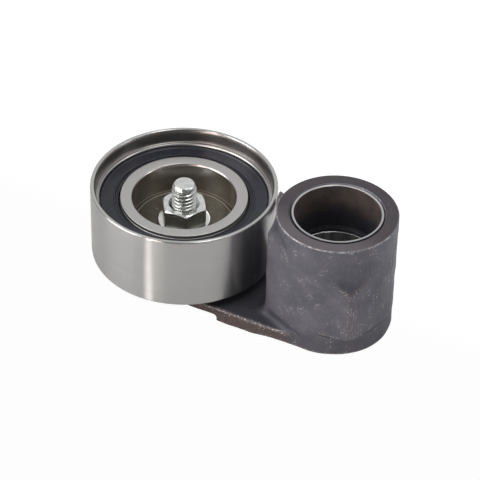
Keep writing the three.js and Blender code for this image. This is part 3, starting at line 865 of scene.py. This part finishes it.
def bush_steel():
    """Bright turned ends, and a dull dark lining that is brown near the top, painted darker and bluer lower
    down as shade inside the bore, and painted lighter grey in the lower bush as light from the floor below.
    """
    s = Shader("bush_steel", Specular_IOR_Level=0.35)
    place = s.place(HUB_X)
    lines = s.grain(place, 0.2, 2.5)
    cloud = s.noise(place, 0.22, 4.0, 0.6)
    grit = s.noise(place, 2.5, 3.0, 0.6)
    r = s.radius(place)
    inner = BUSH_RADIUS - BUSH_WALL
    end = s.between(r, inner + 0.03, inner + 0.12)
    _, _, z = s.parts(place)
    lining = s.mix(s.between(cloud, 0.3, 0.7), (0.052, 0.043, 0.044), (0.088, 0.067, 0.059))
    # Painted shade: the lining turns darker and bluer between 38 and 31 mm up, deeper inside the bore.
    lining = s.mix(s.between(z, 38, 31), lining, (0.026, 0.026, 0.036))
    lining = s.mix(s.between(grit, 0.60, 0.72, 0, 0.4), lining, (0.22, 0.16, 0.13))
    drawn_out = s.node("ShaderNodeVectorMath", {0: place, 1: (1, 1, 0.25)}, operation="MULTIPLY")
    streaks = s.noise(drawn_out, 0.5, 3.0, 0.6)
    # Painted light: the lower bush's lining is a lighter streaked grey, standing for light from the floor
    # below, over streaky texture.
    low = s.between(z, LOWER_BUSH_HIGH[2] + 1, LOWER_BUSH_HIGH[2] - 1)
    floor_lit_streaks = s.mix(s.between(streaks, 0.35, 0.70), (0.12, 0.12, 0.12), (0.24, 0.24, 0.235))
    lining = s.mix(low, lining, floor_lit_streaks)
    bright = s.mix(s.between(lines, 0.3, 0.7), (0.52, 0.51, 0.51), (0.72, 0.71, 0.71))
    bright = s.mix(s.between(r, BUSH_RADIUS - 0.36, BUSH_RADIUS - 0.18), bright, (0.05, 0.05, 0.055))
    tone = s.mix(end, lining, bright)
    roughness = s.math("ADD", s.between(lines, 0.2, 0.8, 0.55, 0.68), s.math("MULTIPLY", end, -0.34))
    metallic = s.math("ADD", s.math("MULTIPLY", end, 0.95), 0.05)
    normal = s.bump(grit, 0.01, 0.4, s.bump(lines, 0.004, 0.6))
    return s.drive(Base_Color=tone, Roughness=roughness, Metallic=metallic, Normal=normal)


def forged_steel():
    """The arm: a dark phosphate coat with painted shade in its hollows, on upward faces and low down, a
    machined top face painted lighter at its front, and bright metal where it has rubbed.
    """
    s = Shader("forged_steel", Specular_IOR_Level=0.35)
    place = s.place(HUB_X)
    x, y, z = s.parts(place)
    r = s.radius(place)
    edge = s.node("ShaderNodeAttribute", {}, "Fac", attribute_name="edge")
    hollow = s.node("ShaderNodeAttribute", {}, "Fac", attribute_name="hollow")
    upward = s.node("ShaderNodeAttribute", {}, "Fac", attribute_name="upward")

    cloud = s.noise(place, 0.11, 4.0, 0.6)
    mottle = s.noise(place, 0.9, 5.0, 0.65)
    grit = s.noise(place, 3.4, 4.0, 0.7)
    coat = s.mix(s.between(cloud, 0.32, 0.68), (0.112, 0.112, 0.136), (0.160, 0.158, 0.184))
    coat = s.mix(s.between(mottle, 0.45, 0.75, 0, 0.55), coat, (0.185, 0.180, 0.198))
    coat = s.mix(s.between(grit, 0.60, 0.80, 0, 0.5), coat, (0.25, 0.245, 0.255))
    # Painted shade: concave fillets and hollows are darkened.
    coat = s.mix(s.math("MULTIPLY", hollow, 0.8), coat, (0.038, 0.040, 0.058))
    # Painted shade: faces that point upward are darkened.
    coat = s.mix(s.math("MULTIPLY", upward, 0.75), coat, (0.040, 0.042, 0.058))
    # Painted shade: the coat darkens towards the bottom, near the floor.
    coat = s.mix(s.between(z, 11, 6, 0, 0.45), coat, (0.070, 0.070, 0.082))
    coat = s.mix(s.math("MULTIPLY", edge, 0.5), coat, (0.16, 0.13, 0.125))

    top = s.between(z, HUB_TOP - 0.12, HUB_TOP - 0.03)
    lines = s.grain(place, 0.25, 2.0)
    face = s.mix(s.between(lines, 0.3, 0.7), (0.078, 0.066, 0.072), (0.098, 0.084, 0.090))
    face = s.mix(s.between(cloud, 0.35, 0.65, 0, 0.6), face, (0.068, 0.063, 0.074))
    # Painted light: the front of the machined top face is painted paler than its back.
    face = s.mix(s.between(y, -3, -15, 0, 0.75), face, (0.160, 0.148, 0.162))
    face = s.mix(s.between(r, BUSH_RADIUS + 0.75, BUSH_RADIUS + 0.6), face, (0.02, 0.02, 0.024))
    coat = s.mix(top, coat, face)

    plate_side = s.math("MULTIPLY", s.between(z, PLATE_TOP - 0.25, PLATE_TOP - 0.6), s.between(x, -4, -9))
    sheared = s.math("MULTIPLY", plate_side, s.between(s.math("ABSOLUTE", y), 18.4, 18.8))
    brown = s.mix(s.between(mottle, 0.3, 0.7), (0.085, 0.062, 0.058), (0.135, 0.100, 0.090))
    coat = s.mix(s.math("MULTIPLY", sheared, 0.85), coat, brown)

    near_rim = s.between(r, HUB_RADIUS - 0.75, HUB_RADIUS - 0.2)
    rim = s.math("MULTIPLY", near_rim, s.between(z, HUB_TOP - 1.1, HUB_TOP - 0.35))
    worn = s.math("MAXIMUM", edge, s.math("MULTIPLY", rim, 0.8))
    patch = s.noise(place, 0.35, 3.0, 0.6)
    flecks = s.noise(place, 3.1, 3.0, 0.7)
    rubbed = s.math("MULTIPLY", worn, s.between(patch, 0.30, 0.62, 0.06, 0.15))
    chips = s.between(s.math("ADD", flecks, rubbed), 0.735, 0.775)
    on_bevel = s.between(r, HUB_RADIUS - 0.5, HUB_RADIUS - 0.35)
    line = s.math("MULTIPLY", on_bevel, s.between(z, HUB_TOP - 0.6, HUB_TOP - 0.4))
    line = s.math("MULTIPLY", line, s.between(s.noise(place, 0.7, 4.0, 0.7), 0.42, 0.66, 0.06, 0.6))
    clustered = s.between(s.noise(place, 0.22, 2.0), 0.52, 0.70, 0.004, 0.36)
    clustered = s.math("MULTIPLY", clustered, s.between(s.math("ADD", hollow, upward), 0.6, 0.1))
    chance = s.math("ADD", s.math("MULTIPLY", worn, 0.42), clustered)
    bare = s.math("MAXIMUM", s.math("MAXIMUM", chips, line), s.specks(place, 2.3, chance))
    bare = s.math("MULTIPLY", bare, s.math("SUBTRACT", 1.0, s.math("MULTIPLY", top, 0.9)))
    tone = s.mix(bare, coat, (0.62, 0.60, 0.60))
    roughness = s.math("SUBTRACT", s.between(grit, 0.3, 0.7, 0.44, 0.60), s.math("MULTIPLY", bare, 0.15))
    metallic = s.math("ADD", s.math("MULTIPLY", bare, 0.45), 0.45)
    normal = s.bump(grit, 0.02, 0.55, s.bump(mottle, 0.05, 0.5))
    return s.drive(Base_Color=tone, Roughness=roughness, Metallic=metallic, Normal=normal)


def ball_steel():
    s = Shader("ball_steel", Metallic=1.0)
    place = s.place()
    haze = s.noise(place, 1.2, 3.0)
    tone = s.mix(s.between(haze, 0.3, 0.7), (0.62, 0.63, 0.65), (0.72, 0.73, 0.75))
    roughness = s.between(haze, 0.3, 0.7, 0.06, 0.14)
    return s.drive(Base_Color=tone, Roughness=roughness, Normal=s.bump(haze, 0.001, 0.3))


def cage_nylon():
    s = Shader("cage_nylon", Subsurface_Weight=0.1)
    place = s.place()
    grit = s.noise(place, 3.0, 4.0, 0.6)
    tone = s.mix(s.between(grit, 0.3, 0.7), (0.42, 0.34, 0.20), (0.50, 0.42, 0.27))
    roughness = s.between(grit, 0.3, 0.7, 0.42, 0.58)
    return s.drive(Base_Color=tone, Roughness=roughness, Normal=s.bump(grit, 0.01, 0.5))


# ---- the object ---------------------------------------------------------------------------------------


def stands_for(piece, node, material):
    """Puts a finished piece in the place of its CAD node."""
    piece.data.materials.clear()
    piece.data.materials.append(material)
    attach(piece, frame["nodes"][node]["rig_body"])
    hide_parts(node)


def line_recess(piece, material, radius, beyond):
    """Gives material to the faces within radius of the axis and further than beyond from the middle plane."""
    piece.data.materials.append(material)
    for face in piece.data.polygons:
        x, y, z = face.center / MM
        if math.hypot(x, y) < radius and abs(z - PULLEY_MIDDLE) > beyond:
            face.material_index = 1


washer_finish = zinc_plate("zinc_plate_washer", WASHER_LOW[2], 0, 0.5)
nut_finish = zinc_plate("zinc_plate_nut", NUT_HIGH[2] - 0.75, 5.0, 0.75)
stud_finish = zinc_plate("zinc_plate_stud", STUD_HIGH[2] - 0.8, 0, 0.35)
bushing = bush_steel()
rubber = seal_rubber()
ball_finish = ball_steel()

stands_for(make_arm(), "tensioner_arm", forged_steel())
upper_bush = make_bush("bush_upper_ring", BUSH_LOW[2], BUSH_HIGH[2])
lower_bush = make_bush("bush_lower_ring", LOWER_BUSH_LOW[2], LOWER_BUSH_HIGH[2])
stands_for(upper_bush, "bush_upper", bushing)
stands_for(lower_bush, "bush_lower", bushing)
pulley_ring = make_pulley()
stands_for(pulley_ring, "pulley", ground_steel())
line_recess(pulley_ring, recess_steel(), 28.7, 5.5)
stands_for(make_inner_ring(), "inner_ring", ring_steel())
stands_for(make_seal("seal_upper_moulded", 1), "seal_top", rubber)
stands_for(make_seal("seal_lower_moulded", -1), "seal_bottom", rubber)
stands_for(make_collar(), "bearing_collar", collar_steel())
stands_for(make_washer(), "stud_washer", washer_finish)
stands_for(make_nut(), "stud_nut", nut_finish)
stands_for(make_stud(), "pulley_stud", stud_finish)
for ball_node in sorted(n for n in frame["nodes"] if n.startswith("ball_") and n != "ball_cage"):
    stands_for(make_ball(ball_node + "_polished", ball_node), ball_node, ball_finish)

cage = frame["nodes"]["ball_cage"]
cage.data.materials.clear()
cage.data.materials.append(cage_nylon())

# ---- floor, light and camera --------------------------------------------------------------------------


FLOOR_REACH = 3.0
GLOW_START, GLOW_END = 0, 45


def make_floor(name, albedo, glow, glow_behind):
    """A plain floor that glows faintly, and differently behind the object than in front of it."""
    mesh = bpy.data.meshes.new(name)
    reach = FLOOR_REACH
    corners = [(-reach, -reach, 0), (reach, -reach, 0), (reach, reach, 0), (-reach, reach, 0)]
    mesh.from_pydata(corners, [], [(0, 1, 2, 3)])
    floor = bpy.data.objects.new(name, mesh)
    bpy.context.scene.collection.objects.link(floor)
    s = Shader(name, Base_Color=(albedo, albedo, albedo, 1), Roughness=1.0, Specular_IOR_Level=0.0)
    s.surface.inputs["Emission Color"].default_value = (1, 1, 1, 1)
    _, y, _ = s.parts(s.place())
    s.drive(Emission_Strength=s.between(y, GLOW_START, GLOW_END, glow, glow_behind))
    mesh.materials.append(s.material)
    return floor


def make_card(name, start, azimuth, length, near_half_width, far_half_width, glow):
    """A narrow glowing card on the floor, pointing away from the pulley, for the belt face to mirror."""
    a = math.radians(azimuth)
    ahead, aside = Vector((math.cos(a), math.sin(a), 0)), Vector((-math.sin(a), math.cos(a), 0))
    first = Vector((start[0], start[1], 0.2))
    last = first + ahead * length
    corners = [
        first - aside * near_half_width, first + aside * near_half_width,
        last + aside * far_half_width, last - aside * far_half_width,
    ]
    mesh = bpy.data.meshes.new(name)
    mesh.from_pydata([corner * MM for corner in corners], [], [(0, 1, 2, 3)])
    card = bpy.data.objects.new(name, mesh)
    bpy.context.scene.collection.objects.link(card)
    s = Shader(name, Base_Color=(0, 0, 0, 1), Roughness=1.0, Specular_IOR_Level=0.0)
    s.surface.inputs["Emission Color"].default_value = (1.0, 0.97, 0.95, 1)
    s.surface.inputs["Emission Strength"].default_value = glow
    mesh.materials.append(s.material)
    return card


LIGHT_DISTANCE = 0.9
LIGHT_AIM = (0.02, 0, 0.02)


def softbox(name, azimuth, elevation, width, height, watts, colour=(1, 1, 1)):
    """An area light at this bearing from the object. Azimuth 0 is +X, and 90 is +Y."""
    light = bpy.data.lights.new(name, "AREA")
    light.shape = "RECTANGLE"
    light.size = width
    light.size_y = height
    light.energy = watts
    light.color = colour
    lamp = bpy.data.objects.new(name, light)
    a, e = math.radians(azimuth), math.radians(elevation)
    offset = Vector((math.cos(e) * math.cos(a), math.cos(e) * math.sin(a), math.sin(e))) * LIGHT_DISTANCE
    lamp.location = Vector(LIGHT_AIM) + offset
    lamp.rotation_euler = (-offset).to_track_quat("-Z", "Y").to_euler()
    bpy.context.scene.collection.objects.link(lamp)


DOME_FRONT, DOME_BACK, DOME_GLOW = 0.12, 0.62, 0.4
CAMERA_PLACE = (0.2673, -0.4803, 0.4648)
CAMERA_YAW, CAMERA_PITCH, CAMERA_ROLL = -27.2, 39.54, 1.37
CAMERA_LENS = 164.3


def make_world():
    """A pale dome, dimmer towards the front, where the camera stands, and brighter at the left."""
    world = bpy.data.worlds.new("studio")
    world.use_nodes = True
    tree = world.node_tree
    background = tree.nodes["Background"]
    background.inputs["Color"].default_value = (1, 1, 1, 1)
    coordinates = tree.nodes.new("ShaderNodeTexCoord")

    def facing(azimuth, elevation):
        a, e = math.radians(azimuth), math.radians(elevation)
        dot = tree.nodes.new("ShaderNodeVectorMath")
        dot.operation = "DOT_PRODUCT"
        dot.inputs[1].default_value = (math.cos(e) * math.cos(a), math.cos(e) * math.sin(a), math.sin(e))
        tree.links.new(coordinates.outputs["Generated"], dot.inputs[0])
        return dot.outputs["Value"]

    def between(value, low, high, out_low, out_high):
        made = tree.nodes.new("ShaderNodeMapRange")
        made.interpolation_type = "SMOOTHSTEP"
        for key, number in (("From Min", low), ("From Max", high), ("To Min", out_low), ("To Max", out_high)):
            made.inputs[key].default_value = number
        tree.links.new(value, made.inputs["Value"])
        return made.outputs[0]

    add = tree.nodes.new("ShaderNodeMath")
    add.operation = "ADD"
    tree.links.new(between(facing(90, 30), -0.6, 0.7, DOME_FRONT, DOME_BACK), add.inputs[0])
    tree.links.new(between(facing(-145, 28), 0.80, 1.0, 0, DOME_GLOW), add.inputs[1])
    tree.links.new(add.outputs[0], background.inputs["Strength"])
    bpy.context.scene.world = world


def make_camera():
    """A long lens, from the front right and 40 degrees above."""
    yaw, pitch, roll = (math.radians(angle) for angle in (CAMERA_YAW, CAMERA_PITCH, CAMERA_ROLL))
    forward = Vector((math.sin(yaw) * math.cos(pitch), math.cos(yaw) * math.cos(pitch), -math.sin(pitch)))
    level = Vector((math.cos(yaw), -math.sin(yaw), 0))
    up = level.cross(forward)
    right = math.cos(roll) * level + math.sin(roll) * up
    top = -math.sin(roll) * level + math.cos(roll) * up
    data = bpy.data.cameras.new("camera")
    data.lens = CAMERA_LENS
    data.sensor_width = 36
    data.clip_start = 0.01
    camera = bpy.data.objects.new("camera", data)
    turn = Matrix((right, top, -forward)).transposed()
    camera.matrix_world = Matrix.Translation(CAMERA_PLACE) @ turn.to_4x4()
    bpy.context.scene.collection.objects.link(camera)
    bpy.context.scene.camera = camera


seen_floor = make_floor("floor_seen", 0.3, 0.92, 0.92)
for ray in ("diffuse", "glossy", "transmission", "shadow"):
    setattr(seen_floor, "visible_" + ray, False)
lighting_floor = make_floor("floor_for_light", 0.64, 0.05, 0.34)
lighting_floor.visible_camera = False
make_world()
softbox("key", -138, 31, 0.6, 0.6, 4.2)
softbox("front", -90, 17, 0.14, 0.1, 0.7, (1.0, 0.90, 0.84))
softbox("left_high", -133, 53, 0.16, 0.16, 0.1)
softbox("right_high", 7, 53, 0.16, 0.16, 0.16)
softbox("front_left_strip", -101, 25, 0.07, 0.9, 2.1, (1.0, 0.88, 0.83))
softbox("overhead", -3, 75, 0.28, 0.28, 1.2)
softbox("right", 16, 27, 0.22, 0.22, 0.55)
reflector = make_card("reflector_card", (2.8, -32.5), -104.6, 50, 1.3, 4.4, 1.7)
for ray in ("camera", "diffuse", "shadow"):
    setattr(reflector, "visible_" + ray, False)
make_camera()
bpy.context.scene.view_settings.view_transform = "Standard"
